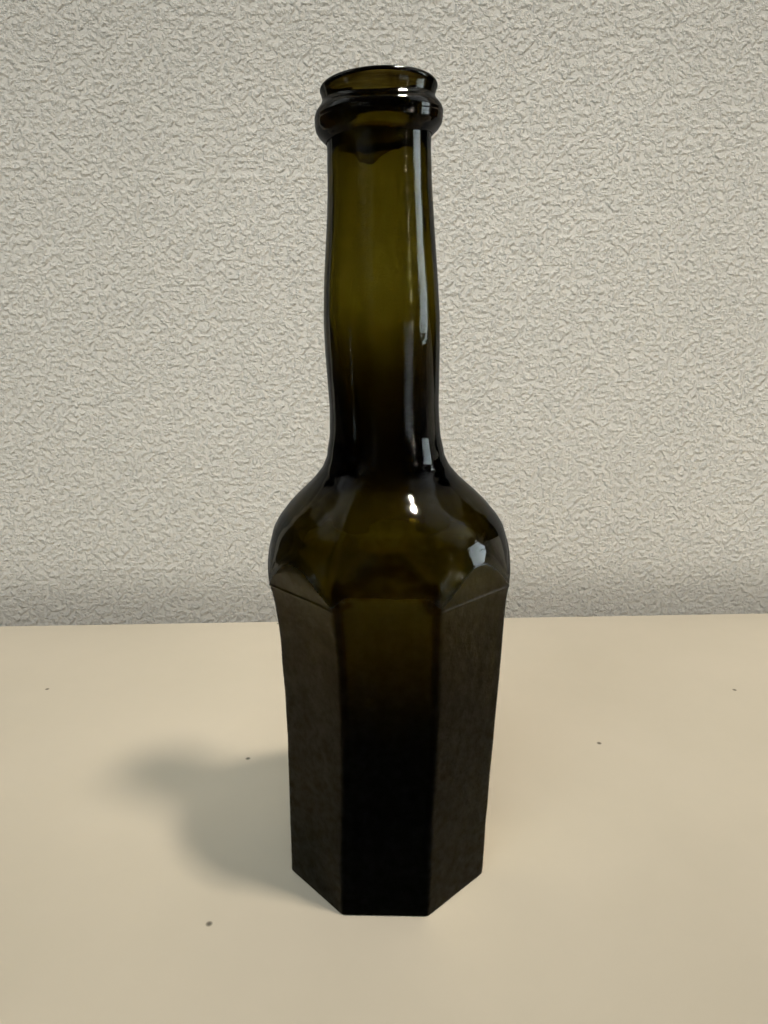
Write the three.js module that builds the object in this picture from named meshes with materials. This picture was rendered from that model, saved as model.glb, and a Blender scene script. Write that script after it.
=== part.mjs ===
// An octagonal bottle of dark olive glass. Its body was blown in a mould up to the mould's top edge,
// its shoulder and neck were shaped free above that, and a ring of glass was laid on under the lip.
// Millimetres, +Z up. The bottle stands on Z = 0 and its front panel faces -Y.

import * as THREE from "three";
import { mergeVertices } from "three/addons/utils/BufferGeometryUtils.js";

// Driving dimensions
const BOTTLE_HEIGHT = 190.5;
const PANELS = 8;
const STEPS_PER_PANEL = 6;
const BASE_APOTHEM = 25.35; // half the width across two opposite panels, where it stands
const SEAM_HEIGHT = 81; // the mould's top edge
const SEAM_APOTHEM = 28.3;
const NECK_START = 118;
const LIP_RADIUS = 12.65;
const CORNER_FILLET = 1.6; // outside, on the eight upright edges
const INNER_FILLET = 9; // inside, where the glass lies thicker in the corners
const ARCH_BLEND = 0.35; // softness of the edge between a flat panel and the round shoulder
const FRONT_LEAN = 0.5; // above the seam the front panel leans in, which makes its arched top taller
const FRONT_ARCH_TOP = 93;

// Base and push-up
const HEEL_RADIUS = 0.45; // rounding between the panels and the standing face
const PUSH_UP_RADIUS = 17.5;
const PUSH_UP_DEPTH = 4.5;
const BASE_THICKNESS = 7.5; // glass above the push-up
const INNER_HEEL_WIDTH = 8;
const INNER_HEEL_HEIGHT = 7;

// Lip and laid-on ring
const LIP_ROUNDING = 0.9; // radius of the rim's outer edge
const RIM_FLAT = 0.1; // width of the level top of the rim
const MOUTH_EASE_WIDTH = 1.4; // the rim's inner edge, rounded more
const MOUTH_EASE_HEIGHT = 1.6;
const LIP_TILT = 0.038; // rise of the lip and ring per millimetre towards +X
const TILT_FROM = 165;
const TILT_FULL = 181;
const RING_BOTTOM = 179.8;
const RING_TOP = 187.4;
const RING_SWELL = 2.05; // how far the ring stands out from the neck
const RING_GAP = 0.1; // between the ring and the neck's wall
const RING_EDGE = 0.12; // thickness to which the ring thins out at its two edges
const RING_SAG = 1; // how much lower it hangs at -X than at +X

// Uneven places along the ring: [degrees from +X, size, spread in degrees]
const RING_LAP = [103, 0.4, 34]; // thicker where its two ends lap, at the back
const RING_DRIP = [104, 2.8, 20]; // and a blunt drip of glass hangs from the lap
const RING_DRIP_STAND = [104, 0.35, 20]; // how far the thin drip stands out
const RING_FLASH = 0.05; // least width of the thin edge below the swell
const RING_BACK_RISE = [95, 0.8, 55]; // beside the drip, the ring's lower edge lies higher
const RING_BOTTOM_DIP = [305, 0.9, 30];
const RING_TOP_DIP = [272, 1.1, 42];

const TURN = 2 * Math.PI;
const STEPS_ROUND = PANELS * STEPS_PER_PANEL;
const HALF_PANEL = Math.PI / PANELS;

// Each shape passes through these [height, size] pairs, from the bottom up.
const panelApothem = through([
  [0, BASE_APOTHEM],
  [18, BASE_APOTHEM + 0.25],
  [40, BASE_APOTHEM + 0.65],
  [60, BASE_APOTHEM + 1.35],
  [74, BASE_APOTHEM + 2.05],
  [SEAM_HEIGHT, SEAM_APOTHEM],
  [88, SEAM_APOTHEM + 1],
  [BOTTLE_HEIGHT, SEAM_APOTHEM + 1],
]);
const roundRadius = through([
  [0, 40],
  [70, 33.4],
  [78, 31],
  [SEAM_HEIGHT, 30.8],
  [84, 30.35],
  [87, 29.8],
  [90, 29.1],
  [92, 28.5],
  [94, 27.6],
  [97, 25.5],
  [100, 22.85],
  [103, 19.65],
  [106, 16.75],
  [109, 14.8],
  [112, 13.95],
  [NECK_START, 13.15],
  [128, 13.15],
  [138, 13.4],
  [146, 13.25],
  [156, 12.55],
  [166, 11.85],
  [175, 11.45],
  [181, 11.5],
  [187.4, 12.05],
  [189.9, LIP_RADIUS],
  [BOTTLE_HEIGHT, LIP_RADIUS],
]);
const wallThickness = through([
  [0, 8],
  [20, 8],
  [32, 5.7],
  [42, 4.1],
  [48, 2.8],
  [58, 2.2],
  [64, 2.1],
  [70, 2],
  [76, 2],
  [80, 2.2],
  [84.5, 3],
  [88.5, 4.1],
  [93, 4.1],
  [97, 4.1],
  [100.5, 5.2],
  [104, 6.6],
  [107.5, 8],
  [112, 7.4],
  [NECK_START, 6.4],
  [122, 6],
  [128, 4.9],
  [136, 3.3],
  [146, 2.1],
  [155, 2],
  [167, 2.3],
  [176, 2.5],
  [179, 2.9],
  [182, 3.3],
  [185, 2.8],
  [188.5, 2.3],
  [BOTTLE_HEIGHT, 2.3],
]);

// How far the centre line wanders towards +X, from blowing and tooling by hand
const centreDrift = through([
  [0, -0.5],
  [20, 0],
  [60, 1],
  [86, 0.5],
  [100, 0.2],
  [115, -0.3],
  [145, -0.85],
  [165, -0.95],
  [180, -1.1],
  [BOTTLE_HEIGHT, -1.05],
]);

// The ring's outside: share of its full swell at each share of its height
const ringProfile = [
  [0, 0],
  [0.1, 0.36],
  [0.24, 0.8],
  [0.38, 0.98],
  [0.53, 1],
  [0.68, 0.9],
  [0.81, 0.56],
  [0.91, 0.2],
  [1, 0],
];

// A smooth function through [position, value] pairs.
function through(points) {
  const slopes = points.map((_, i) => {
    const before = points[Math.max(i - 1, 0)];
    const after = points[Math.min(i + 1, points.length - 1)];
    return (after[1] - before[1]) / (after[0] - before[0]);
  });
  return (position) => {
    let i = 0;
    while (i < points.length - 2 && position > points[i + 1][0]) i += 1;
    const [from, low] = points[i];
    const [to, high] = points[i + 1];
    const span = to - from;
    const t = THREE.MathUtils.clamp((position - from) / span, 0, 1);
    const leaving = low + slopes[i] * span * t;
    const arriving = high - slopes[i + 1] * span * (1 - t);
    return THREE.MathUtils.lerp(leaving, arriving, t * t * (3 - 2 * t));
  };
}

// Distance from the axis to an octagon with rounded corners, at an angle from +X.
function octagonAt(angle, apothem, fillet) {
  const panel = TURN / PANELS;
  const off = Math.abs(angle - panel * Math.round(angle / panel));
  const core = apothem - fillet;
  if (apothem * Math.tan(off) <= core * Math.tan(HALF_PANEL)) return apothem / Math.cos(off);
  const coreCorner = core / Math.cos(HALF_PANEL);
  const across = coreCorner * Math.sin(HALF_PANEL - off);
  return coreCorner * Math.cos(HALF_PANEL - off) + Math.sqrt(fillet ** 2 - across ** 2);
}

// The lesser of two lengths, eased where they come within a blend of each other.
function softMin(a, b, blend) {
  const near = Math.max(blend - Math.abs(a - b), 0) / blend;
  return Math.min(a, b) - (near * near * blend) / 4;
}

function apothemAt(angle, height) {
  const onFront = Math.abs(angle - 0.75 * TURN) < HALF_PANEL;
  const lean = onFront ? FRONT_LEAN * THREE.MathUtils.smoothstep(height, SEAM_HEIGHT, FRONT_ARCH_TOP) : 0;
  return panelApothem(height) - lean;
}

// Distance from the centre line to the bottle's outside and to its inside.
function outsideAt(angle, height) {
  const flat = octagonAt(angle, apothemAt(angle, height), CORNER_FILLET);
  return softMin(flat, roundRadius(height), ARCH_BLEND);
}

function insideAt(angle, height) {
  const wall = wallThickness(height);
  const flat = octagonAt(angle, apothemAt(angle, height) - wall, INNER_FILLET);
  return softMin(flat, roundRadius(height) - wall, ARCH_BLEND);
}

// Heights from one value to another in even steps, both ends included.
function levels(from, to, steps) {
  return Array.from({ length: steps + 1 }, (_, i) => from + ((to - from) * i) / steps);
}

// One closed loop of points round the bottle. place gives [distance from the centre line, height].
function loopOf(place) {
  return Array.from({ length: STEPS_ROUND }, (_, i) => {
    const angle = (TURN * i) / STEPS_ROUND;
    const [distance, height] = place(angle);
    const x = distance * Math.cos(angle) + centreDrift(height);
    const tilt = LIP_TILT * THREE.MathUtils.smoothstep(height, TILT_FROM, TILT_FULL);
    return [x, distance * Math.sin(angle), height + tilt * x];
  });
}

// Joins each loop to the next one. The skin is closed by a tip at each end, or end to end.
function skin(loops, tips) {
  const positions = loops.flat(2);
  const faces = [];
  const last = loops.length - 1;
  const joins = tips ? last : loops.length;
  for (let row = 0; row < joins; row += 1) {
    const next = (row + 1) % loops.length;
    for (let i = 0; i < STEPS_ROUND; i += 1) {
      const j = (i + 1) % STEPS_ROUND;
      const [a, b] = [row * STEPS_ROUND + i, row * STEPS_ROUND + j];
      const [c, d] = [next * STEPS_ROUND + i, next * STEPS_ROUND + j];
      faces.push(a, b, d, a, d, c);
    }
  }
  if (tips) {
    const firstTip = positions.length / 3;
    positions.push(...tips[0], ...tips[1]);
    for (let i = 0; i < STEPS_ROUND; i += 1) {
      const j = (i + 1) % STEPS_ROUND;
      faces.push(firstTip, j, i);
      faces.push(firstTip + 1, last * STEPS_ROUND + i, last * STEPS_ROUND + j);
    }
  }
  const geometry = new THREE.BufferGeometry();
  geometry.setAttribute("position", new THREE.Float32BufferAttribute(positions, 3));
  geometry.setIndex(faces);
  const closed = mergeVertices(geometry, 1e-4);
  closed.computeVertexNormals();
  return closed;
}

// The underside: a round push-up inside an eight-sided standing face, then the rounded heel.
function undersideLoops() {
  const pushUp = [0.35, 0.7, 1].map((share) => {
    const height = PUSH_UP_DEPTH * (1 - share ** 2);
    return () => [PUSH_UP_RADIUS * share, height];
  });
  const heel = levels(0, Math.PI / 2, 3).map((turn) => {
    const inset = HEEL_RADIUS * (1 - Math.sin(turn));
    const height = HEEL_RADIUS * (1 - Math.cos(turn));
    return (angle) => [outsideAt(angle, height) - inset, height];
  });
  return [...pushUp, ...heel].map(loopOf);
}

function outerLoops() {
  const heights = [
    ...levels(10, 70, 5),
    76,
    SEAM_HEIGHT,
    ...levels(83, 105, 11),
    ...levels(107.5, NECK_START, 4),
    ...levels(123, 178, 11),
    ...levels(180, 189, 6),
  ];
  return heights.map((height) => loopOf((angle) => [outsideAt(angle, height), height]));
}

// The rim, from its outer edge over the level top and down into the mouth.
function rimLoops() {
  const outer = levels(0, Math.PI / 2, 2).map((turn) => [
    LIP_RADIUS - LIP_ROUNDING * (1 - Math.cos(turn)),
    BOTTLE_HEIGHT - LIP_ROUNDING * (1 - Math.sin(turn)),
  ]);
  const easeFrom = LIP_RADIUS - LIP_ROUNDING - RIM_FLAT;
  const inner = levels(0, Math.PI / 2, 3).map((turn) => [
    easeFrom - MOUTH_EASE_WIDTH * Math.sin(turn),
    BOTTLE_HEIGHT - MOUTH_EASE_HEIGHT * (1 - Math.cos(turn)),
  ]);
  return [...outer, ...inner].map((place) => loopOf(() => place));
}

// The inside, down from the mouth to the rounded corner at the bottom.
function innerLoops() {
  const heelTop = PUSH_UP_DEPTH + BASE_THICKNESS + INNER_HEEL_HEIGHT - 1;
  const heights = [
    ...levels(187, 181, 2),
    ...levels(174, 124, 6),
    ...levels(119, 85, 12),
    ...levels(78, heelTop, 5),
  ];
  const walls = heights.map((height) => loopOf((angle) => [insideAt(angle, height), height]));
  const heel = levels(Math.PI / 6, Math.PI / 2, 2).map((turn) => {
    const inset = INNER_HEEL_WIDTH * (1 - Math.cos(turn));
    const height = heelTop - INNER_HEEL_HEIGHT * Math.sin(turn);
    return loopOf((angle) => [insideAt(angle, heelTop) - inset, height]);
  });
  return [...walls, ...heel];
}

function blownBody() {
  const loops = [...undersideLoops(), ...outerLoops(), ...rimLoops(), ...innerLoops()];
  const underTip = [centreDrift(0), 0, PUSH_UP_DEPTH];
  const floorTip = [centreDrift(0), 0, PUSH_UP_DEPTH + BASE_THICKNESS];
  return skin(loops, [underTip, floorTip]);
}

// An uneven place along the ring. A higher power gives it a blunter end.
function unevenAt(angle, [middle, size, spread], power = 2) {
  const off = Math.abs(THREE.MathUtils.radToDeg(angle) - middle) / spread;
  return size * Math.exp(-(off ** power));
}

// The laid-on ring: its outside swells from the neck and back, and its inside follows the neck.
// Both of its edges wander up and down, as the ring was laid on by hand.
function laidOnRing() {
  const edgesAt = (angle) => {
    const lean = (RING_SAG * Math.cos(angle)) / 2;
    const uneven = unevenAt(angle, RING_BACK_RISE) - unevenAt(angle, RING_BOTTOM_DIP);
    return [RING_BOTTOM + lean + uneven, RING_TOP - unevenAt(angle, RING_TOP_DIP)];
  };
  const outsidePlace = (share, swell) => (angle) => {
    const [bottom, top] = edgesAt(angle);
    const height = THREE.MathUtils.lerp(bottom, top, share);
    const thin = RING_EDGE + unevenAt(angle, RING_DRIP_STAND, 4) * (1 - swell);
    const stand = thin + (RING_SWELL + unevenAt(angle, RING_LAP)) * swell;
    return [outsideAt(angle, height) + RING_GAP + stand, height];
  };
  const dripPlace = (angle) => {
    const height = edgesAt(angle)[0] - unevenAt(angle, RING_DRIP, 4) - RING_FLASH;
    return [outsideAt(angle, height) + RING_GAP + RING_EDGE + unevenAt(angle, RING_DRIP_STAND, 4), height];
  };
  const insidePlace = (share) => (angle) => {
    const top = edgesAt(angle)[1];
    const height = THREE.MathUtils.lerp(dripPlace(angle)[1], top, share);
    return [outsideAt(angle, height) + RING_GAP, height];
  };
  const outer = [dripPlace, ...ringProfile.map(([share, swell]) => outsidePlace(share, swell))];
  const inner = [1, 0.75, 0.5, 0.25, 0].map(insidePlace);
  return skin([...outer, ...inner].map(loopOf), null);
}

function piece(name, geometry) {
  const oliveGlass = new THREE.MeshStandardMaterial({
    color: new THREE.Color(0.07, 0.062, 0.016),
    roughness: 0.08,
    metalness: 0,
    transparent: true,
    opacity: 0.92,
  });
  const mesh = new THREE.Mesh(geometry, oliveGlass);
  mesh.name = name;
  return mesh;
}

const bottle = new THREE.Group();
bottle.add(piece("blown_body", blownBody()));
bottle.add(piece("laid_on_ring", laidOnRing()));

export default bottle;
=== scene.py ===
import math

import bpy
import numpy as np
from mathutils import Matrix, Vector, noise


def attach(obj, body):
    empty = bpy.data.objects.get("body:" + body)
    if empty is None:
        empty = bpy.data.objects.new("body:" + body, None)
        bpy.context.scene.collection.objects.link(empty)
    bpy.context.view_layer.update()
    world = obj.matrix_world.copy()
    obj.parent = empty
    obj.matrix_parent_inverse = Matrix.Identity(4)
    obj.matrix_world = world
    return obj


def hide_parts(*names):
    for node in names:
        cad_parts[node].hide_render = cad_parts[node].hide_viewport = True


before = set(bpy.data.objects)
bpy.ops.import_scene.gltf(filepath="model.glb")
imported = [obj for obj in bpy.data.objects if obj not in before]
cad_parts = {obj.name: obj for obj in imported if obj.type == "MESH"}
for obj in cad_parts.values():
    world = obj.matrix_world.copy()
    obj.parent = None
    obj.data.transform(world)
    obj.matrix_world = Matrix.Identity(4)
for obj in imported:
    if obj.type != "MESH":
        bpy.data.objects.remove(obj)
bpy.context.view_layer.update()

# Sizes are in millimetres until a mesh is made. The bottle stands on Z = 0 and its front panel faces -Y.
MM = 0.001
TURN = 2 * math.pi
FRONT = 0.75 * TURN

# Driving dimensions, which are the CAD part's
BOTTLE_HEIGHT = 190.5
PANELS = 8
HALF_PANEL = math.pi / PANELS
BASE_APOTHEM = 25.35
SEAM_HEIGHT = 81
SEAM_APOTHEM = 28.3
NECK_START = 118
LIP_RADIUS = 12.65
CORNER_FILLET = 1.6
INNER_FILLET = 9
FRONT_LEAN = 0.5  # above the seam the front panel leans in, which makes its arched top taller
FRONT_ARCH_TOP = 93
ARCH_BLEND = 0.35
HEEL_RADIUS = 0.45
PUSH_UP_RADIUS = 17.5
PUSH_UP_DEPTH = 4.5
BASE_THICKNESS = 7.5
INNER_HEEL_WIDTH = 8
INNER_HEEL_HEIGHT = 7
INNER_FLOOR_RISE = 1  # the inner floor is higher in its middle than at its rim
LIP_ROUNDING = 0.9
RIM_FLAT = 0.1
MOUTH_EASE_WIDTH = 1.4
MOUTH_EASE_HEIGHT = 1.6
LIP_TILT = 0.038
TILT_FROM = 165
TILT_FULL = 181
RING_BOTTOM = 179.8
RING_TOP = 187.4
RING_SWELL = 2.05
RING_GAP = 0.1
RING_EDGE = 0.12
RING_SAG = 1

# Low and high places along the ring's edges, and where its ends lap: (degrees from +X, size, spread)
RING_DRIP = (104, 2.8, 20)
RING_DRIP_STAND = (104, 0.35, 20)
RING_BACK_RISE = (95, 0.8, 55)
RING_BOTTOM_DIP = (305, 0.9, 30)
RING_TOP_DIP = (272, 1.1, 42)
RING_LAP = (103, 0.4, 34)
DRIP_BLUNTNESS = 4  # 2 is a bell, and more is blunter and rounder at its end

# How fine the meshes are
STEPS_PER_PANEL = 32
CORNER_CROWDING = 0.45  # share by which the steps round crowd towards the panels' corners

# Small relief, by which the outside stands above the plain form
SEAM_RIDGE = 0.2  # raised line left by the mould's top edge
SEAM_RIDGE_WIDTH = 0.32
SEAM_WANDER = 0.2
SHOULDER_RIDGE = 0.24  # faint edge running up the shoulder from one corner
SHOULDER_RIDGE_WIDTH = 0.6
SHOULDER_RIDGE_AT = math.radians(247.5)
ARCH_RIDGE = 0.1  # the panels' arched tops stand a little proud of the shoulder
ARCH_RIDGE_AT = -0.1
ARCH_RIDGE_WIDTH = 0.3
ARCH_GROOVE = 0.16  # and the shoulder dips just above them
ARCH_GROOVE_AT = 0.6
ARCH_GROOVE_WIDTH = 0.45
FRONT_FAINTNESS = 0.8  # the share of seam and arch that the front panel lacks
SHOULDER_WAVE = 0.08
NECK_WAVE = 0.09
NECK_STREAKS = 0.03
PANEL_HAMMER = 0.07  # twice as much near the heel
RING_LUMPS = 0.05

# Relief of the inside
INNER_WANDER = 0.12
NECK_RIBS = 0.3  # upright ribs, from drawing the neck out
LIP_STREAKS = 0.2  # wavy tooling marks inside the mouth
FOLD = 1.2  # a fold of thicker glass fills the top of the front panel's arch
FOLD_FROM = 84
FOLD_TOP = 92.2
FOLD_LEVEL_SHARE = 0.36  # its top is level over this share of the half panel
FOLD_SLOPE = 11  # and further out it sinks by this much in a half panel's width
FOLD_FOOT_EASE = 0.8
FOLD_FADE_BELOW = 2
FOLD_FADE_ABOVE = 1.4

# Painted shade, darkening the glass's tint: shares of the darkest, and their sizes
EDGE_SHADE_INSET = 0.9  # painted shade in lines just inside the front panel's upright edges
EDGE_SHADE_WIDTH = 0.8
CORNER_SHADE = 1.1  # broken blots of painted shade at the front panel's two upper corners
CORNER_SHADE_INSET = 2.4
CORNER_SHADE_WIDTH = 1.6
CORNER_SHADE_HEIGHT = 2.6
FOLD_SHADE = 0.32  # painted shade over the fold
RING_EDGE_SHADE = 0.8  # a line of painted shade along the ring's lower edge
RING_EDGE_SHADE_WIDTH = 0.6
RING_SIDE_SHADE = 0.35  # painted shade on the ring's left and right

# Heights between which relief and painted shade show: where each begins, is full, begins to fade and is gone
SHOULDER = (82, 86, 104, 110)
SHOULDER_EDGE = (84, 88, 100, 106)
NECK = (104, 122, 172, 180)
LOW_NECK = (106, 114, 138, 150)
NECK_BORE = (112, 125, 172, 180)
FRONT_EDGES = (2, 20, 85, 89)
RING_SIDES = (28, 48, 80, 95)  # this one in degrees from the front

# Heights over which others fade out or, in the mouth, rise to their full strength
HEEL_FADE = (10, 45)
PANELS_FADE = (84, 92)
MOUTH_STREAKS_RISE = (178, 184)

# The glass: where the satin of the panels ends past their arches, how fast it darkens, how it bends light
SATIN_EDGE = (-0.1, 0.15)
BODY_DENSITY = 950
RING_DENSITY = 1250
GLASS_IOR = 1.5

# The photograph's camera
CAMERA_AT = (5.09, -170.07, 138.75)
CAMERA_HEADING = 1.95  # degrees to the left of +Y
CAMERA_DOWN = 14.1
CAMERA_ROLL = -0.5
PICTURE_LONG_SIDE = 1024
FOCAL_PIXELS = 710
SENSOR = 36

# The room, from here on in metres
ROOM_SIZE = 1.6
WALL_DISTANCE = 0.161  # behind the bottle's axis
WALL_TURN = 3.15  # degrees, its right side further away
JUST_ABOVE_TABLE = 0.0005
LAMP_TARGET = (0, 0, 0.1)

# Lamps: (name, direction from the bottle, distance, (width, height), watts, colour)
ROOM_LAMPS = (
    ("key", (0.35, -0.155, 0.92), 2.2, (0.22, 0.22), 31, (1, 0.88, 0.74)),
    ("fill", (-0.2, -0.75, 0.65), 2.0, (2.0, 2.0), 29.5, (0.9, 0.99, 1)),
)
SHOWN_LAMPS = (
    ("window", (1, 0.03, 0.22), 0.92, (0.3, 0.36), 6.2, (0.78, 0.92, 1)),
    ("door_gap", (0.88, -0.47, 0.2), 0.9, (0.03, 0.45), 2.2, (1, 0.95, 0.8)),
    ("low_glow", (0.788, -0.616, -0.035), 0.9, (0.25, 0.12), 1.5, (0.75, 0.9, 1)),
    ("left_glow", (-0.88, -0.47, -0.035), 0.9, (0.1, 0.12), 1.5, (0.75, 0.9, 1)),
    ("ceiling_lamp", (0.32, -0.02, 0.95), 1.2, (0.15, 0.15), 167, (1, 0.93, 0.78)),
)
PALE_LAMPS = (
    ("right_ceiling", (0.66, 0.08, 0.7), 0.9, (0.6, 0.6), 2.2, (0.9, 0.96, 1)),
    ("left_ceiling", (-0.66, 0.08, 0.7), 0.9, (0.6, 0.6), 1.8, (0.9, 0.96, 1)),
    ("front_left", (-0.5, -0.8, 0.28), 0.9, (0.6, 0.6), 3.6, (0.9, 0.96, 1)),
)


def through(points):
    """A smooth function through (position, value) pairs."""
    at, values = np.array(points, float).T
    above = np.append(np.arange(1, len(at)), len(at) - 1)
    below = np.append(0, np.arange(len(at) - 1))
    slopes = (values[above] - values[below]) / (at[above] - at[below])

    def value(position):
        i = np.clip(np.searchsorted(at, position) - 1, 0, len(at) - 2)
        span = at[i + 1] - at[i]
        t = np.clip((position - at[i]) / span, 0, 1)
        leaving = values[i] + slopes[i] * span * t
        arriving = values[i + 1] - slopes[i + 1] * span * (1 - t)
        return leaving + (arriving - leaving) * t * t * (3 - 2 * t)

    return value


# Each shape passes through these (height, size) pairs, from the bottom up.
panel_apothem = through([
    (0, BASE_APOTHEM),
    (18, BASE_APOTHEM + 0.25),
    (40, BASE_APOTHEM + 0.65),
    (60, BASE_APOTHEM + 1.35),
    (74, BASE_APOTHEM + 2.05),
    (SEAM_HEIGHT, SEAM_APOTHEM),
    (88, SEAM_APOTHEM + 1),
    (BOTTLE_HEIGHT, SEAM_APOTHEM + 1),
])
round_radius = through([
    (0, 40),
    (70, 33.4),
    (78, 31),
    (SEAM_HEIGHT, 30.8),
    (84, 30.35),
    (87, 29.8),
    (90, 29.1),
    (92, 28.5),
    (94, 27.6),
    (97, 25.5),
    (100, 22.85),
    (103, 19.65),
    (106, 16.75),
    (109, 14.8),
    (112, 13.95),
    (NECK_START, 13.15),
    (128, 13.15),
    (138, 13.4),
    (146, 13.25),
    (156, 12.55),
    (166, 11.85),
    (175, 11.45),
    (181, 11.5),
    (187.4, 12.05),
    (189.9, LIP_RADIUS),
    (BOTTLE_HEIGHT, LIP_RADIUS),
])
wall_thickness = through([
    (0, 8),
    (20, 8),
    (32, 5.7),
    (42, 4.1),
    (48, 2.8),
    (58, 2.2),
    (64, 2.1),
    (70, 2),
    (76, 2),
    (80, 2.2),
    (84.5, 3),
    (88.5, 4.1),
    (93, 4.1),
    (97, 4.1),
    (100.5, 5.2),
    (104, 6.6),
    (107.5, 8),
    (112, 7.4),
    (NECK_START, 6.4),
    (122, 6),
    (128, 4.9),
    (136, 3.3),
    (146, 2.1),
    (155, 2),
    (167, 2.3),
    (176, 2.5),
    (179, 2.9),
    (182, 3.3),
    (185, 2.8),
    (188.5, 2.3),
    (BOTTLE_HEIGHT, 2.3),
])
centre_drift = through([
    (0, -0.5),
    (20, 0),
    (60, 1),
    (86, 0.5),
    (100, 0.2),
    (115, -0.3),
    (145, -0.85),
    (165, -0.95),
    (180, -1.1),
    (BOTTLE_HEIGHT, -1.05),
])
ring_profile = through([
    (0, 0),
    (0.1, 0.36),
    (0.24, 0.8),
    (0.38, 0.98),
    (0.53, 1),
    (0.68, 0.9),
    (0.81, 0.56),
    (0.91, 0.2),
    (1, 0),
])


def angles_round():
    """Angles of the steps round the bottle from +X, closer together near the panels' corners."""
    share = np.arange(STEPS_PER_PANEL) / STEPS_PER_PANEL * 2 - 1
    eased = (1 - CORNER_CROWDING) * share + CORNER_CROWDING * np.sin(share * math.pi / 2)
    middles = np.arange(PANELS) * 2 * HALF_PANEL
    return (middles[:, None] + HALF_PANEL * eased).ravel()


ANGLES = angles_round()


def octagon(angle, apothem, fillet):
    """Distance from the axis to an octagon with rounded corners."""
    panel = TURN / PANELS
    off = np.abs(angle - panel * np.round(angle / panel))
    core = apothem - fillet
    core_corner = core / math.cos(HALF_PANEL)
    across = core_corner * np.sin(HALF_PANEL - off)
    rounded = core_corner * np.cos(HALF_PANEL - off) + np.sqrt(np.maximum(fillet**2 - across**2, 0))
    on_panel = apothem * np.tan(off) <= core * math.tan(HALF_PANEL)
    return np.where(on_panel, apothem / np.cos(off), rounded)


def soft_min(a, b, blend):
    """The lesser of two lengths, eased where they come within a blend of each other."""
    near = np.maximum(blend - np.abs(a - b), 0) / blend
    return np.minimum(a, b) - near * near * blend / 4


def smoothstep(value, low, high):
    t = np.clip((value - low) / (high - low), 0, 1)
    return t * t * (3 - 2 * t)


def stretch(value, begins, full, fades, gone):
    """1 between full and fades, easing to 0 below begins and above gone."""
    return smoothstep(value, begins, full) * (1 - smoothstep(value, fades, gone))


def bell(value, middle, spread):
    return np.exp(-(((value - middle) / spread) ** 2))


def off_front(angle):
    """How far an angle lies to either side of the front panel's middle."""
    return np.abs(angle % TURN - FRONT)


def on_front(angle):
    return off_front(angle) < HALF_PANEL


def apothem(angle, height):
    lean = FRONT_LEAN * smoothstep(height, SEAM_HEIGHT, FRONT_ARCH_TOP) * on_front(angle)
    return panel_apothem(height) - lean


def past_arch(angle, height):
    """How far the panels' planes lie outside the round shoulder: below 0 on a panel, over 0 past its arch."""
    return octagon(angle, apothem(angle, height), CORNER_FILLET) - round_radius(height)


def outside(angle, height):
    flat = octagon(angle, apothem(angle, height), CORNER_FILLET)
    return soft_min(flat, round_radius(height), ARCH_BLEND)


def fold(angle, height):
    """How much the thicker glass behind the front panel's arched top adds."""
    aside = np.maximum(off_front(angle) / HALF_PANEL - FOLD_LEVEL_SHARE, 0)
    top = FOLD_TOP - FOLD_SLOPE * np.minimum(aside, 1)
    fades, gone = top - FOLD_FADE_BELOW, top + FOLD_FADE_ABOVE
    return FOLD * stretch(height, FOLD_FROM - FOLD_FOOT_EASE, FOLD_FROM + FOLD_FOOT_EASE, fades, gone)


def inside(angle, height):
    wall = wall_thickness(height) + fold(angle, height)
    flat = octagon(angle, apothem(angle, height) - wall, INNER_FILLET)
    return soft_min(flat, round_radius(height) - wall, ARCH_BLEND)


def lumps(angle, height, radius, size, upright=1.0):
    """Smooth noise from -1 to 1 on the skin, its lumps about size across and upright times as tall."""
    angle, height = np.broadcast_arrays(angle, height)
    spots = np.stack([radius * np.cos(angle), radius * np.sin(angle), height / upright], axis=-1) / size
    values = [noise.noise(spot) for spot in spots.reshape(-1, 3).tolist()]
    return np.array(values).reshape(angle.shape)


def seam_relief(angle, height):
    """The raised line of the mould, which wanders up and down on its way round."""
    seam_height = SEAM_HEIGHT + SEAM_WANDER * (np.sin(2 * angle + 1) + 0.6 * np.sin(5 * angle))
    return SEAM_RIDGE * bell(height, seam_height, SEAM_RIDGE_WIDTH)


def arch_relief(angle, height):
    """A raised edge along the panels' arched tops, with an uneven groove above it."""
    past = past_arch(angle, height)
    ridge = ARCH_RIDGE * bell(past, ARCH_RIDGE_AT, ARCH_RIDGE_WIDTH)
    uneven = 0.8 + 0.5 * lumps(angle, height, radius=28, size=4)
    groove = ARCH_GROOVE * bell(past, ARCH_GROOVE_AT, ARCH_GROOVE_WIDTH) * uneven
    return (ridge - groove) * smoothstep(height, SEAM_HEIGHT + 0.5, SEAM_HEIGHT + 3)


def shoulder_relief(angle, height):
    """A slightly wavering edge that runs up from one corner, and soft waves all round."""
    waver = 0.03 * np.sin(height / 5)
    from_ridge = (angle - SHOULDER_RIDGE_AT - waver) * round_radius(height)
    ridge = SHOULDER_RIDGE * bell(from_ridge, 0, SHOULDER_RIDGE_WIDTH) * stretch(height, *SHOULDER_EDGE)
    waves = SHOULDER_WAVE * lumps(angle, height, radius=27, size=5) * stretch(height, *SHOULDER)
    return ridge + waves


def neck_relief(angle, height):
    """Long soft waves, and fine upright streaks low on the neck."""
    waves = NECK_WAVE * lumps(angle, height, radius=13, size=9, upright=1.6) * stretch(height, *NECK)
    streaks = NECK_STREAKS * lumps(angle, height, radius=13, size=1.5, upright=12)
    return waves + streaks * stretch(height, *LOW_NECK)


def panel_relief(angle, height):
    """The hammered look of glass that met a cold mould, strongest near the heel."""
    on_panels = 1 - smoothstep(height, *PANELS_FADE)
    near_heel = 1 - smoothstep(height, *HEEL_FADE)
    return PANEL_HAMMER * (1 + near_heel) * lumps(angle, height, radius=27, size=6) * on_panels


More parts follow.
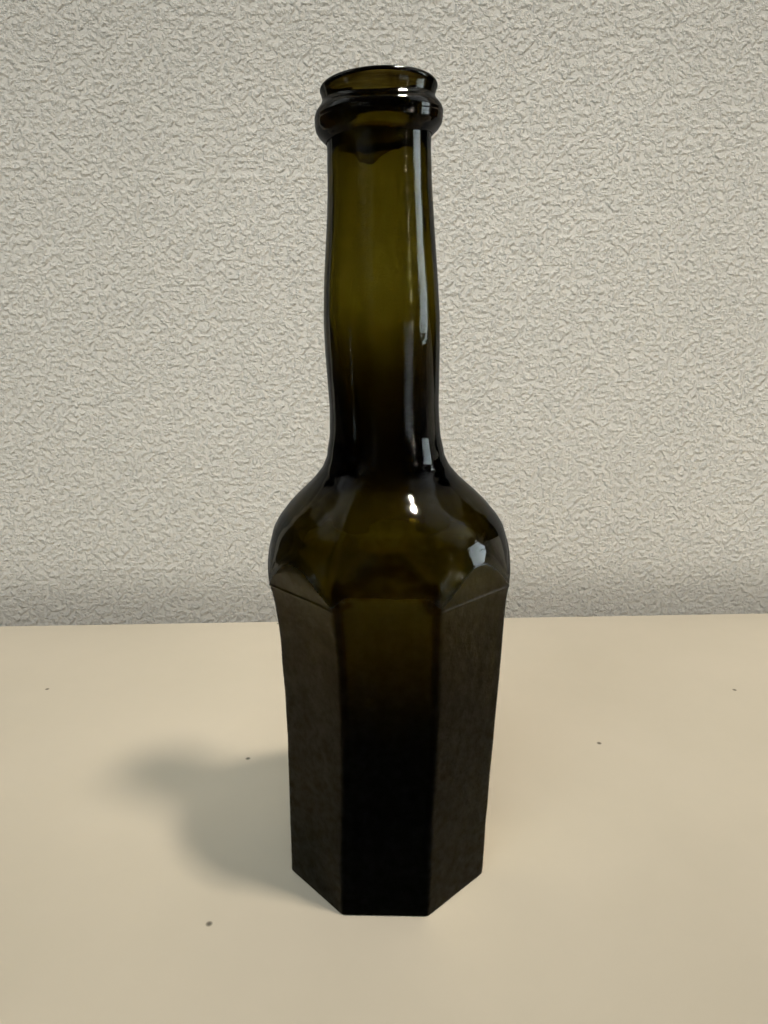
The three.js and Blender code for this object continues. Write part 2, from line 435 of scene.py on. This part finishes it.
def relief(angle, height):
    """What stands proud of the plain form."""
    edges = seam_relief(angle, height) + arch_relief(angle, height)
    edges = edges * (1 - FRONT_FAINTNESS * on_front(angle))
    waves = shoulder_relief(angle, height) + neck_relief(angle, height)
    return edges + waves + panel_relief(angle, height)


def loops(distance, height):
    """Points of closed loops round the bottle: its centre line wanders, and its lip is tilted."""
    distance, height = np.broadcast_arrays(distance, height)
    x = distance * np.cos(ANGLES) + centre_drift(height)
    tilt = LIP_TILT * smoothstep(height, TILT_FROM, TILT_FULL)
    return np.stack([x, distance * np.sin(ANGLES), height + tilt * x], axis=-1)


def satin(angle, height):
    """1 on the mould-chilled panels, 0 on the fire-bright shoulder and neck above their arched tops."""
    above_front = smoothstep(height, FOLD_FROM, FOLD_FROM + 1.5) * on_front(angle)
    past_edge = smoothstep(past_arch(angle, height), *SATIN_EDGE)
    return 1 - np.maximum(past_edge, above_front)


def body_mark(angle, height):
    """0 to 1, painted shade: lines down the front panel's upright edges, blots at their tops, and darkening
    over the fold.
    """
    inset = (HALF_PANEL - off_front(angle)) * SEAM_APOTHEM
    broken = 1 + 0.7 * lumps(angle, height, radius=28, size=2.5, upright=2)
    heavier = 0.45 + 0.55 * bell(height, SEAM_HEIGHT + 1, 7)
    lines = bell(inset, EDGE_SHADE_INSET, EDGE_SHADE_WIDTH) * stretch(height, *FRONT_EDGES) * broken * heavier

    patches = 0.5 + lumps(angle, height, radius=28, size=1.7)
    blots = CORNER_SHADE * bell(inset, CORNER_SHADE_INSET, CORNER_SHADE_WIDTH) * np.maximum(patches, 0)
    blots = blots * bell(height, FOLD_FROM, CORNER_SHADE_HEIGHT)

    cloudy = 1 + lumps(angle, height, radius=28, size=3, upright=0.7)
    fold_shade = FOLD_SHADE * fold(angle, height) / FOLD * cloudy
    return np.clip(lines + blots + fold_shade, 0, 1)


def skin(name, rows, tips=(), **finish):
    """A mesh that joins each loop to the next one, closed by two tips or end to end.

    finish gives the first loops' shares of satin and of painted shade, point by point. Other points have
    none.
    """
    count, steps = rows.shape[:2]
    joins = count - 1 if tips else count
    here = np.arange(joins)[:, None] * steps
    there = (np.arange(joins)[:, None] + 1) % count * steps
    i = np.arange(steps)
    j = (i + 1) % steps
    faces = np.stack(np.broadcast_arrays(here + i, here + j, there + j, there + i), axis=-1)
    faces = faces.reshape(-1, 4).tolist()
    points = rows.reshape(-1, 3).tolist()
    if tips:
        first, last = len(points), (count - 1) * steps
        points += [list(tip) for tip in tips]
        faces += [(first, b, a) for a, b in zip(i.tolist(), j.tolist())]
        faces += [(first + 1, last + a, last + b) for a, b in zip(i.tolist(), j.tolist())]
    mesh = bpy.data.meshes.new(name)
    mesh.from_pydata((np.array(points) * MM).tolist(), [], faces)
    mesh.shade_smooth()
    for attribute in ("satin", "mark"):
        shares = np.zeros(len(points))
        if attribute in finish:
            shares[: finish[attribute].size] = finish[attribute].ravel()
        mesh.attributes.new(attribute, "FLOAT", "POINT").data.foreach_set("value", shares)
    mesh.validate()
    piece = bpy.data.objects.new(name, mesh)
    bpy.context.scene.collection.objects.link(piece)
    return piece


def column(*values):
    """Values as a column, so that each belongs to one loop."""
    return np.concatenate(values)[:, None]


def underside():
    """A round push-up inside an eight-sided standing face, then the rounded heel."""
    share = column(np.linspace(0.08, 1, 14))
    push_up = loops(PUSH_UP_RADIUS * share + 0 * ANGLES, PUSH_UP_DEPTH * (1 - share**2) + 0 * ANGLES)
    turn = column(np.linspace(0, math.pi / 2, 8))
    height = HEEL_RADIUS * (1 - np.cos(turn)) + 0 * ANGLES
    heel = loops(outside(ANGLES, height) - HEEL_RADIUS * (1 - np.sin(turn)), height)
    return [push_up, heel]


OUTER_HEIGHTS = column(
    np.linspace(2, 79.5, 46),
    np.linspace(79.8, 82.2, 20),
    np.linspace(82.6, 118, 76),
    np.linspace(118.8, 179, 60),
    np.linspace(179.5, 189.3, 22),
)


def outer_wall():
    height = OUTER_HEIGHTS
    return loops(outside(ANGLES, height) + relief(ANGLES, height), height)


def rim():
    """From the lip's outer edge over the level top and down into the mouth."""
    turn = column(np.linspace(0, math.pi / 2, 8))
    outer_distance = LIP_RADIUS - LIP_ROUNDING * (1 - np.cos(turn)) + 0 * ANGLES
    outer = loops(outer_distance, BOTTLE_HEIGHT - LIP_ROUNDING * (1 - np.sin(turn)))
    ease_from = LIP_RADIUS - LIP_ROUNDING - RIM_FLAT
    inner_distance = ease_from - MOUTH_EASE_WIDTH * np.sin(turn) + 0 * ANGLES
    inner = loops(inner_distance, BOTTLE_HEIGHT - MOUTH_EASE_HEIGHT * (1 - np.cos(turn)))
    return [outer, inner]


INNER_FLOOR = PUSH_UP_DEPTH + BASE_THICKNESS
INNER_HEEL_TOP = INNER_FLOOR + INNER_HEEL_HEIGHT - INNER_FLOOR_RISE
INNER_HEIGHTS = column(
    np.linspace(187.8, 180, 24),
    np.linspace(179, 106, 44),
    np.linspace(105, 80, 24),
    np.linspace(78, INNER_HEEL_TOP, 24),
)


def inner_wall():
    """The inside, down from the mouth to the rounded corner at the bottom."""
    height = INNER_HEIGHTS
    wander = INNER_WANDER * lumps(ANGLES, height, radius=20, size=14)
    streaks = LIP_STREAKS * lumps(ANGLES, height, radius=9, size=5, upright=0.25)
    streaks = streaks * smoothstep(height, *MOUTH_STREAKS_RISE)
    ribs = NECK_RIBS * lumps(ANGLES, height, radius=10, size=3.2, upright=9) * stretch(height, *NECK_BORE)
    walls = loops(inside(ANGLES, height) + wander + streaks + ribs, height)
    turn = column(np.linspace(math.pi / 16, math.pi / 2, 10))
    inset = INNER_HEEL_WIDTH * (1 - np.cos(turn))
    drop = INNER_HEEL_HEIGHT * np.sin(turn)
    heel = loops(inside(ANGLES, INNER_HEEL_TOP + 0 * turn) - inset, INNER_HEEL_TOP - drop)
    return [walls, heel]


def blown_body():
    under = np.concatenate(underside())
    rows = np.concatenate([under, outer_wall(), *rim(), *inner_wall()])
    finish = {
        "satin": np.concatenate([np.ones(under.shape[:2]), satin(ANGLES, OUTER_HEIGHTS)]),
        "mark": np.concatenate([np.zeros(under.shape[:2]), body_mark(ANGLES, OUTER_HEIGHTS)]),
    }
    middle = float(centre_drift(0))
    return skin("body_glass", rows, [(middle, 0, PUSH_UP_DEPTH), (middle, 0, INNER_FLOOR)], **finish)


def dip(angle, place, power=2):
    """A low or swollen place along the ring. A higher power gives it a blunter, rounder end."""
    middle, size, spread = place
    off = np.abs(np.degrees(angle) % 360 - middle) / spread
    return size * np.exp(-(off**power))


def laid_on_ring():
    """The ring's outside swells from the neck and back. Its edges wander, as it was laid on by hand."""
    lean = RING_SAG * np.cos(ANGLES) / 2
    plain_bottom = RING_BOTTOM + lean - dip(ANGLES, RING_BOTTOM_DIP) + dip(ANGLES, RING_BACK_RISE)
    bottom = plain_bottom - dip(ANGLES, RING_DRIP, DRIP_BLUNTNESS)
    top = RING_TOP - dip(ANGLES, RING_TOP_DIP)
    out_height = bottom + (top - bottom) * column(np.linspace(0, 1, 40))
    swell = ring_profile(np.clip((out_height - plain_bottom) / (top - plain_bottom), 0, 1))
    flat = RING_EDGE + dip(ANGLES, RING_DRIP_STAND, DRIP_BLUNTNESS) * (1 - swell)
    full = (RING_SWELL + dip(ANGLES, RING_LAP)) * swell
    uneven = RING_LUMPS * lumps(ANGLES, out_height, radius=14, size=5) * swell
    out = outside(ANGLES, out_height) + RING_GAP + flat + full + uneven
    in_height = bottom + (top - bottom) * column(np.linspace(1, 0, 12))
    rows = [loops(out, out_height), loops(outside(ANGLES, in_height) + RING_GAP, in_height)]
    # Painted shade along the ring's lower edge.
    edge = RING_EDGE_SHADE * bell(out_height - bottom, 0, RING_EDGE_SHADE_WIDTH)
    # Painted shade on the ring's left and right, which only its front half gets.
    side_shade = RING_SIDE_SHADE * stretch(np.degrees(off_front(ANGLES)), *RING_SIDES)
    return skin("ring_glass", np.concatenate(rows), mark=np.maximum(edge, side_shade))


def add_node(tree, kind, inputs=None, **settings):
    node = tree.nodes.new(kind)
    for name, value in settings.items():
        setattr(node, name, value)
    for name, value in (inputs or {}).items():
        socket = node.inputs[name]
        if isinstance(value, bpy.types.NodeSocket):
            tree.links.new(value, socket)
        else:
            socket.default_value = value
    return node


def new_material(name):
    """A material with an empty node tree, and its output node."""
    material = bpy.data.materials.new(name)
    material.use_nodes = True
    material.node_tree.nodes.clear()
    return material, add_node(material.node_tree, "ShaderNodeOutputMaterial")


def object_place(tree):
    """Where a point lies in its object's own space, in metres."""
    return add_node(tree, "ShaderNodeTexCoord").outputs["Object"]


def noise_field(tree, place, scale, detail, roughness):
    """Noise from 0 to 1. scale counts its lumps in a metre."""
    inputs = {"Vector": place, "Scale": scale, "Detail": detail, "Roughness": roughness}
    return add_node(tree, "ShaderNodeTexNoise", inputs).outputs["Fac"]


def ramp(tree, value, stops):
    """A ramp through (position, colour) stops, in which a single number stands for a grey."""
    node = add_node(tree, "ShaderNodeValToRGB", {"Fac": value})
    elements = node.color_ramp.elements
    while len(elements) < len(stops):
        elements.new(0.5)
    for element, (position, colour) in zip(elements, stops):
        channels = colour if isinstance(colour, tuple) else (colour,) * 3
        element.position = position
        element.color = (*channels, 1)
    return node.outputs["Color"]


def blend(tree, factor, low, high):
    """The colour low where the factor is 0 and high where it is 1."""
    node = tree.nodes.new("ShaderNodeMix")
    node.data_type = "RGBA"
    colours = [socket for socket in node.inputs if socket.type == "RGBA"]
    for socket, source in ((node.inputs[0], factor), (colours[0], low), (colours[1], high)):
        tree.links.new(source, socket)
    return next(socket for socket in node.outputs if socket.type == "RGBA")


def product(tree, *colours):
    """The colours multiplied together."""
    result = colours[0]
    for colour in colours[1:]:
        node = add_node(tree, "ShaderNodeVectorMath", operation="MULTIPLY")
        tree.links.new(result, node.inputs[0])
        tree.links.new(colour, node.inputs[1])
        result = node.outputs[0]
    return result


def falloff(tree, axis, stops):
    """Light or dark along one axis in object space, through (metres, share) pairs from -0.5 m up."""
    lowest = -0.5
    along = add_node(tree, "ShaderNodeSeparateXYZ", {"Vector": object_place(tree)}).outputs[axis]
    moved = add_node(tree, "ShaderNodeMath", {0: along, 1: -lowest}, operation="ADD").outputs[0]
    return ramp(tree, moved, [(at - lowest, share) for at, share in stops])


def glass_tint(tree, place, height):
    """Near white, with upright streaks, bands of painted shade at the lip, and painted shade at edges,
    corners, the fold and the ring.
    """
    upright = add_node(tree, "ShaderNodeMapping", {"Vector": place, "Scale": (1, 1, 0.13)}).outputs["Vector"]
    streaks = noise_field(tree, upright, scale=160, detail=3, roughness=0.55)
    streaky = ramp(tree, streaks, [(0.3, (0.72, 0.68, 0.52)), (0.68, (1, 1, 0.97))])

    # Painted shade: dark level bands in the tint at the lip.
    squashed = {"Vector": place, "Location": (0, 0, 0.3), "Scale": (1, 1, 8)}
    level = add_node(tree, "ShaderNodeMapping", squashed).outputs["Vector"]
    bands = noise_field(tree, level, scale=120, detail=3, roughness=0.55)
    lip_shade_bands = ramp(tree, bands, [(0.38, (0.1, 0.075, 0.045)), (0.62, (0.36, 0.31, 0.25))])
    at_lip = ramp(tree, height, [(0.185, 0), (0.1875, 1)])
    clear = add_node(tree, "ShaderNodeRGB")
    clear.outputs[0].default_value = (1, 1, 1, 1)
    lip = blend(tree, at_lip, clear.outputs[0], lip_shade_bands)

    # Painted shade: this attribute darkens the tint at the front panel's edges and upper corners, over the
    # fold and on the ring.
    marked = add_node(tree, "ShaderNodeAttribute", attribute_name="mark").outputs["Fac"]
    marks = ramp(tree, marked, [(0, 1), (0.35, (0.3, 0.18, 0.1)), (1, (0.06, 0.02, 0.01))])
    return product(tree, streaky, lip, marks)


def glass_ripples(tree, place, chilled):
    """Soft ripples all over, and a finer beaten look where the glass was chilled."""
    ripple = noise_field(tree, place, scale=210, detail=2, roughness=0.5)
    soft = add_node(tree, "ShaderNodeBump", {"Height": ripple, "Strength": 0.35, "Distance": 0.0002})
    hammer = noise_field(tree, place, scale=340, detail=3, roughness=0.5)
    beaten = add_node(tree, "ShaderNodeMath", {0: hammer, 1: chilled}, operation="MULTIPLY").outputs[0]
    mottled = add_node(tree, "ShaderNodeBump", {
        "Height": beaten,
        "Strength": 0.55,
        "Distance": 0.0006,
        "Normal": soft.outputs["Normal"],
    })
    return mottled.outputs["Normal"]


def olive_glass(name, density):
    """Dark olive glass, deep enough to look black: streaky and rippled, under a thin brown coat of painted
    shade that dims and browns its reflections.
    """
    material, out = new_material(name)
    tree = material.node_tree
    place = object_place(tree)
    height = add_node(tree, "ShaderNodeSeparateXYZ", {"Vector": place}).outputs["Z"]
    chilled = add_node(tree, "ShaderNodeAttribute", attribute_name="satin").outputs["Fac"]

    grime = noise_field(tree, place, scale=70, detail=6, roughness=0.62)
    bright = ramp(tree, grime, [(0.42, 0.012), (0.75, 0.04)])
    dull = ramp(tree, grime, [(0.35, 0.28), (0.7, 0.36)])
    patchy = noise_field(tree, place, scale=380, detail=5, roughness=0.7)
    # Painted shade: a patchy brown coat, full low on the panels and weakest on the shoulder and neck, that
    # dims and browns the reflections and what shows through.
    shade_film_patches = ramp(tree, patchy, [(0.35, 0.72), (0.65, 1)])
    reflection_shade_film = ramp(tree, height, [(0.04, 1), (0.075, 0.8), (0.087, 0.4), (0.186, 0.4), (0.188, 0.8)])

    glass = add_node(tree, "ShaderNodeBsdfPrincipled", {
        "Base Color": glass_tint(tree, place, height),
        "Roughness": blend(tree, chilled, bright, dull),
        "Normal": glass_ripples(tree, place, chilled),
        "IOR": GLASS_IOR,
        "Transmission Weight": 1,
        "Specular Tint": (0.03, 0.03, 0.03, 1),
        "Coat Weight": product(tree, reflection_shade_film, shade_film_patches),
        "Coat Roughness": 0.1,
        "Coat IOR": 1.05,
        "Coat Tint": (0.52, 0.49, 0.38, 1),
    })
    depth = add_node(tree, "ShaderNodeVolumeAbsorption", {"Color": (0.645, 0.61, 0.0, 1), "Density": density})
    tree.links.new(glass.outputs["BSDF"], out.inputs["Surface"])
    tree.links.new(depth.outputs["Volume"], out.inputs["Volume"])
    return material


def table_surface():
    """A pale warm table top with faint cloudiness, a few dark specks, and painted shade towards its sides and
    front.
    """
    material, out = new_material("table_top")
    tree = material.node_tree
    place = object_place(tree)
    cloud = noise_field(tree, place, scale=14, detail=5, roughness=0.6)
    cloudy = ramp(tree, cloud, [(0.3, (0.56, 0.507, 0.405)), (0.7, (0.595, 0.537, 0.434))])
    # Painted shade: the table darkens towards its left, its right and its front, in place of the lamps'
    # falloff.
    across = falloff(tree, "X", [
        (-0.16, 0.86),
        (-0.11, 0.92),
        (-0.06, 1),
        (0, 0.98),
        (0.045, 0.97),
        (0.08, 0.91),
        (0.13, 0.89),
    ])
    along = falloff(tree, "Y", [
        (-0.05, 0.84),
        (-0.03, 0.87),
        (0, 0.92),
        (0.02, 0.96),
        (0.06, 0.99),
        (0.1, 1),
    ])
    crumbs = add_node(tree, "ShaderNodeTexVoronoi", {"Vector": place, "Scale": 12}, voronoi_dimensions="2D")
    specks = ramp(tree, crumbs.outputs["Distance"], [(0.006, 0.25), (0.011, 1)])
    surface = add_node(tree, "ShaderNodeBsdfPrincipled", {
        "Base Color": product(tree, cloudy, across, along, specks),
        "Roughness": 0.6,
        "Specular IOR Level": 0,
    })
    tree.links.new(surface.outputs["BSDF"], out.inputs["Surface"])
    return material


def wall_surface():
    """Pale stucco, with painted shade near the table, at the top and at the sides. Seen from behind it isn't
    there, so that it never hides the bottle's back.
    """
    material, out = new_material("stucco_wall")
    tree = material.node_tree
    place = object_place(tree)
    bumps = noise_field(tree, place, scale=400, detail=3, roughness=0.55)
    raised = ramp(tree, bumps, [(0.42, 0), (0.68, 1)])
    stucco = add_node(tree, "ShaderNodeBump", {"Height": raised, "Strength": 1.0, "Distance": 0.001})
    cloud = noise_field(tree, place, scale=11, detail=3, roughness=0.5)
    cloudy = ramp(tree, cloud, [(0.3, (0.755, 0.727, 0.672)), (0.7, (0.783, 0.754, 0.698))])
    # Painted shade: the wall darkens just above the table and towards its top, its left and its right.
    wall_shade_upwards = falloff(tree, "Z", [
        (0, 0.58),
        (0.012, 0.66),
        (0.03, 0.92),
        (0.05, 0.985),
        (0.1, 1),
        (0.145, 0.97),
        (0.186, 0.94),
        (0.226, 0.88),
        (0.26, 0.8),
        (0.3, 0.74),
    ])
    across = falloff(tree, "X", [
        (-0.18, 0.86),
        (-0.115, 0.91),
        (-0.06, 0.96),
        (0.02, 1),
        (0.09, 1),
        (0.16, 0.96),
    ])
    surface = add_node(tree, "ShaderNodeBsdfPrincipled", {
        "Base Color": product(tree, cloudy, wall_shade_upwards, across),
        "Roughness": 0.8,
        "Specular IOR Level": 0,
        "Normal": stucco.outputs["Normal"],
    })
    clear = add_node(tree, "ShaderNodeBsdfTransparent")
    behind = add_node(tree, "ShaderNodeNewGeometry").outputs["Backfacing"]
    mix = add_node(tree, "ShaderNodeMixShader", {"Fac": behind})
    tree.links.new(surface.outputs["BSDF"], mix.inputs[1])
    tree.links.new(clear.outputs["BSDF"], mix.inputs[2])
    tree.links.new(mix.outputs["Shader"], out.inputs["Surface"])
    return material


def card_surface(name, level):
    material, out = new_material(name)
    surface = add_node(material.node_tree, "ShaderNodeBsdfDiffuse", {"Color": (level, level, level, 1)})
    material.node_tree.links.new(surface.outputs["BSDF"], out.inputs["Surface"])
    return material


def upright_corners(start, end, top, bottoms=(0, 0)):
    """The corners of an upright sheet between two (x, y) points."""
    return [(*start, bottoms[0]), (*end, bottoms[1]), (*end, top), (*start, top)]


def level_corners(x_range, y_range, height):
    """The corners of a level sheet."""
    left, right = x_range
    near, back = y_range
    return [(left, near, height), (right, near, height), (right, back, height), (left, back, height)]


def sheet(name, corners, material):
    """A flat four-cornered part of the set."""
    mesh = bpy.data.meshes.new(name)
    mesh.from_pydata(corners, [], [(0, 1, 2, 3)])
    mesh.materials.append(material)
    piece = bpy.data.objects.new(name, mesh)
    bpy.context.scene.collection.objects.link(piece)
    return piece


def flag(name, corners, paleness):
    """A sheet that only reflections meet, a painted reflection: a dark or grey part of the room, as the glass
    mirrors it.
    """
    piece = sheet(name, corners, card_surface(f"{name}_card", paleness))
    piece.visible_camera = False
    piece.visible_diffuse = False
    piece.visible_transmission = False
    piece.visible_shadow = False


def lamp(name, towards, distance, size, power, colour, seen_by):
    """A soft lamp in a direction from the bottle. seen_by names the kinds of ray that meet it."""
    light = bpy.data.lights.new(name, "AREA")
    light.shape = "RECTANGLE"
    light.size, light.size_y = size
    light.energy = power
    light.color = colour
    piece = bpy.data.objects.new(name, light)
    bpy.context.scene.collection.objects.link(piece)
    middle = Vector(LAMP_TARGET)
    piece.location = middle + Vector(towards).normalized() * distance
    piece.rotation_euler = (middle - piece.location).to_track_quat("-Z", "Y").to_euler()
    piece.visible_camera = False
    piece.visible_diffuse = "diffuse" in seen_by
    piece.visible_glossy = "glossy" in seen_by
    piece.visible_transmission = "transmission" in seen_by


def build_set():
    """The table and the wall, and flags beside and behind the bottle and before its foot, which are painted
    reflections.
    """
    whole = (-ROOM_SIZE, ROOM_SIZE)
    sheet("table", level_corners(whole, whole, 0), table_surface())
    wall = sheet("wall", upright_corners((-ROOM_SIZE, 0), (ROOM_SIZE, 0), ROOM_SIZE), wall_surface())
    wall.location = (0, WALL_DISTANCE, 0)
    wall.rotation_euler = (0, 0, math.radians(WALL_TURN))
    flag("left_flag", upright_corners((-0.21, 0.12), (-0.21, -0.5), 0.25), 0.07)
    flag("right_flag", upright_corners((0.19, 0.16), (0.19, 0.05), 0.25, bottoms=(0.09, 0.15)), 0.02)
    flag("backing", upright_corners((-0.2, 0.145), (0.19, 0.155), 0.4), 0.25)
    flag("foot_flag", level_corners((-0.03, 0.03), (-0.1, -0.0256), JUST_ABOVE_TABLE), 0.2)


def build_lamps():
    """Lamps that light the room unseen, those that the glass shows, and pale ones that it only mirrors."""
    for lamps, seen_by in (
        (ROOM_LAMPS, ("diffuse",)),
        (SHOWN_LAMPS, ("glossy", "transmission")),
        (PALE_LAMPS, ("glossy",)),
    ):
        for settings in lamps:
            lamp(*settings, seen_by)


def build_world():
    """A dim room, which the glass mirrors. The camera, and sight through the glass, meet a pale backdrop."""
    world = bpy.data.worlds.new("room")
    bpy.context.scene.world = world
    world.use_nodes = True
    tree = world.node_tree
    tree.nodes.clear()
    ray = add_node(tree, "ShaderNodeLightPath").outputs
    seen = add_node(tree, "ShaderNodeMath", operation="MAXIMUM")
    tree.links.new(ray["Is Camera Ray"], seen.inputs[0])
    tree.links.new(ray["Is Transmission Ray"], seen.inputs[1])
    room = add_node(tree, "ShaderNodeBackground", {"Color": (0.5, 0.48, 0.45, 1), "Strength": 0.35})
    backdrop = add_node(tree, "ShaderNodeBackground", {"Color": (0.6, 0.57, 0.5, 1), "Strength": 1})
    mix = add_node(tree, "ShaderNodeMixShader", {"Fac": seen.outputs[0]})
    tree.links.new(room.outputs[0], mix.inputs[1])
    tree.links.new(backdrop.outputs[0], mix.inputs[2])
    out = add_node(tree, "ShaderNodeOutputWorld")
    tree.links.new(mix.outputs[0], out.inputs["Surface"])


def build_camera():
    data = bpy.data.cameras.new("camera")
    data.sensor_width = SENSOR
    data.lens = FOCAL_PIXELS * SENSOR / PICTURE_LONG_SIDE
    data.clip_start = 0.01
    camera = bpy.data.objects.new("camera", data)
    bpy.context.scene.collection.objects.link(camera)
    camera.location = Vector(CAMERA_AT) * MM
    heading = Matrix.Rotation(math.radians(CAMERA_HEADING), 3, "Z")
    down = Matrix.Rotation(math.radians(90 - CAMERA_DOWN), 3, "X")
    roll = Matrix.Rotation(math.radians(CAMERA_ROLL), 3, "Z")
    camera.rotation_mode = "QUATERNION"
    camera.rotation_quaternion = (heading @ down @ roll).to_quaternion()
    bpy.context.scene.camera = camera


body_glass = olive_glass("olive_glass", BODY_DENSITY)
ring_glass = olive_glass("deep_olive_glass", RING_DENSITY)
parts = ((blown_body(), "blown_body", body_glass), (laid_on_ring(), "laid_on_ring", ring_glass))
for piece, node, glass in parts:
    piece.data.materials.append(glass)
    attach(piece, "root")
    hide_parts(node)

build_set()
build_lamps()
build_world()
build_camera()
bpy.context.scene.view_settings.view_transform = "Standard"
bpy.context.scene.cycles.max_bounces = 20
bpy.context.scene.cycles.transmission_bounces = 20
bpy.context.scene.cycles.glossy_bounces = 8
bpy.context.scene.cycles.transparent_max_bounces = 12
